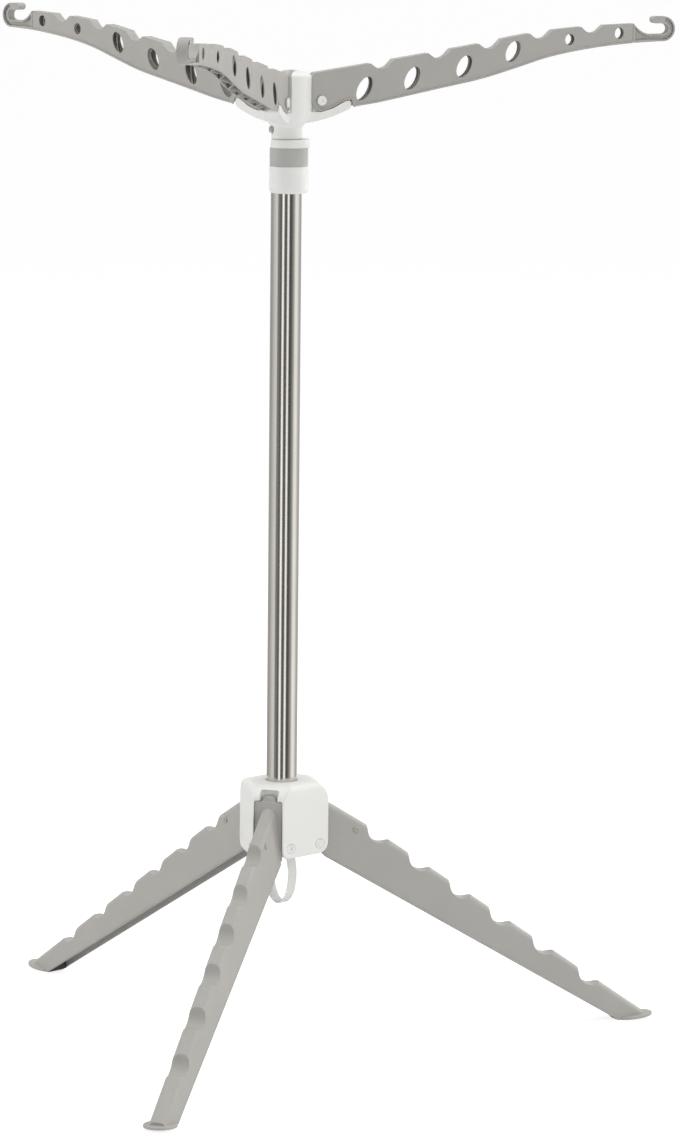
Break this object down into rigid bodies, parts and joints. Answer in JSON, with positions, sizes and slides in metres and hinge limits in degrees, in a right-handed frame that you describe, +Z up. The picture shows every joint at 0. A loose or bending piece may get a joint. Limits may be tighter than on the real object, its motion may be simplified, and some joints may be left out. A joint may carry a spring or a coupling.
{
  "type": "tripod clothes drying rack",
  "caption": "Free-standing drying rack: fold-down legs, a telescopic steel mast with a twist collar, and fold-up arms with hanger holes, notches and end hooks.",
  "frame": {"origin": "on the floor, on the axis of the mast", "axes": "+Z up along the mast, +X along arm 1"},
  "size_m": [0.6587, 0.7402, 1.0757],
  "materials": {
    "base_hub_white_plastic": "smooth satin white plastic",
    "leg_1_grey_plastic": "fine-grained light grey plastic",
    "foot_pad_1_rubber": "black rubber",
    "leg_pin_1_white_plastic": "smooth satin white plastic",
    "leg_2_grey_plastic": "fine-grained light grey plastic",
    "foot_pad_2_rubber": "black rubber",
    "leg_pin_2_white_plastic": "smooth satin white plastic",
    "leg_3_grey_plastic": "fine-grained light grey plastic",
    "foot_pad_3_rubber": "black rubber",
    "leg_pin_3_white_plastic": "smooth satin white plastic",
    "hang_loop_strap": "thin soft white strap",
    "loop_pin_steel": "polished steel",
    "outer_tube_steel": "polished steel",
    "tube_plug_white_plastic": "smooth satin white plastic",
    "inner_tube_steel": "polished steel",
    "guide_bush_grey_plastic": "fine-grained light grey plastic",
    "twist_collar_white_plastic": "smooth satin white plastic",
    "collar_band_grey_plastic": "fine-grained light grey plastic",
    "clamp_collet_white_plastic": "smooth satin white plastic",
    "head_hub_white_plastic": "smooth satin white plastic",
    "arm_1_grey_plastic": "fine-grained light grey plastic",
    "arm_pin_1_white_plastic": "smooth satin white plastic",
    "arm_2_grey_plastic": "fine-grained light grey plastic",
    "arm_pin_2_white_plastic": "smooth satin white plastic",
    "arm_3_grey_plastic": "fine-grained light grey plastic",
    "arm_pin_3_white_plastic": "smooth satin white plastic",
    "snap_button_grey_plastic": "fine-grained light grey plastic",
    "button_spring_steel": "polished steel"
  },
  "bodies": {
    "base": {"base_hub": "base_hub_white_plastic", "outer_tube": "outer_tube_steel", "tube_plug": "tube_plug_white_plastic", "leg_pin_1": "leg_pin_1_white_plastic", "leg_pin_2": "leg_pin_2_white_plastic", "leg_pin_3": "leg_pin_3_white_plastic", "loop_pin": "loop_pin_steel", "clamp_collet": "clamp_collet_white_plastic"},
    "leg_1": {"leg_1": "leg_1_grey_plastic", "foot_pad_1": "foot_pad_1_rubber"},
    "leg_2": {"leg_2": "leg_2_grey_plastic", "foot_pad_2": "foot_pad_2_rubber"},
    "leg_3": {"leg_3": "leg_3_grey_plastic", "foot_pad_3": "foot_pad_3_rubber"},
    "loop": {"hang_loop": "hang_loop_strap"},
    "collar": {"twist_collar": "twist_collar_white_plastic", "collar_band": "collar_band_grey_plastic"},
    "bush": {"guide_bush": "guide_bush_grey_plastic"},
    "head": {"inner_tube": "inner_tube_steel", "head_hub": "head_hub_white_plastic", "arm_pin_1": "arm_pin_1_white_plastic", "arm_pin_2": "arm_pin_2_white_plastic", "arm_pin_3": "arm_pin_3_white_plastic"},
    "arm_1": {"arm_1": "arm_1_grey_plastic"},
    "arm_2": {"arm_2": "arm_2_grey_plastic"},
    "arm_3": {"arm_3": "arm_3_grey_plastic"},
    "button": {"snap_button": "snap_button_grey_plastic", "button_spring": "button_spring_steel"}
  },
  "joints": [
    {"name": "leg_1_fold", "type": "hinge", "parent": "base", "child": "leg_1", "pos_m": [0.03652, -0.00243, 0.21078], "axis": [0.0663, 0.9978, 0], "range_deg": [0, 57]},
    {"name": "leg_2_fold", "type": "hinge", "parent": "base", "child": "leg_2", "pos_m": [-0.01616, 0.03284, 0.21078], "axis": [-0.8973, -0.4415, 0], "range_deg": [0, 57]},
    {"name": "leg_3_fold", "type": "hinge", "parent": "base", "child": "leg_3", "pos_m": [-0.02036, -0.03041, 0.21078], "axis": [0.831, -0.5563, 0], "range_deg": [0, 57]},
    {"name": "mast_slide", "type": "slide", "parent": "base", "child": "bush", "axis": [0, 0, 1], "range_m": [0, 0.45]},
    {"name": "head_turn", "type": "hinge", "parent": "bush", "child": "head", "pos_m": [0, 0, 0.40498], "axis": [0, 0, 1], "continuous": true},
    {"name": "arm_1_fold", "type": "hinge", "parent": "head", "child": "arm_1", "pos_m": [0.0348, 0, 0.99098], "axis": [0, -1, 0], "range_deg": [0, 74]},
    {"name": "arm_2_fold", "type": "hinge", "parent": "head", "child": "arm_2", "pos_m": [-0.0174, 0.03014, 0.99098], "axis": [0.866, 0.5, 0], "range_deg": [0, 74]},
    {"name": "arm_3_fold", "type": "hinge", "parent": "head", "child": "arm_3", "pos_m": [-0.0174, -0.03014, 0.99098], "axis": [-0.866, 0.5, 0], "range_deg": [0, 74]},
    {"name": "collar_twist", "type": "hinge", "parent": "base", "child": "collar", "pos_m": [0, 0, 0.89568], "axis": [0, 0, 1], "range_deg": [0, 90]},
    {"name": "button_press", "type": "slide", "parent": "head", "child": "button", "axis": [1, 0, 0], "range_m": [0, 0.002], "stiffness_N_per_m": 600},
    {"name": "loop_swing", "type": "hinge", "parent": "base", "child": "loop", "pos_m": [0, 0, 0.20648], "axis": [0.8729, 0.4879, 0], "range_deg": [-15, 15]}
  ]
}
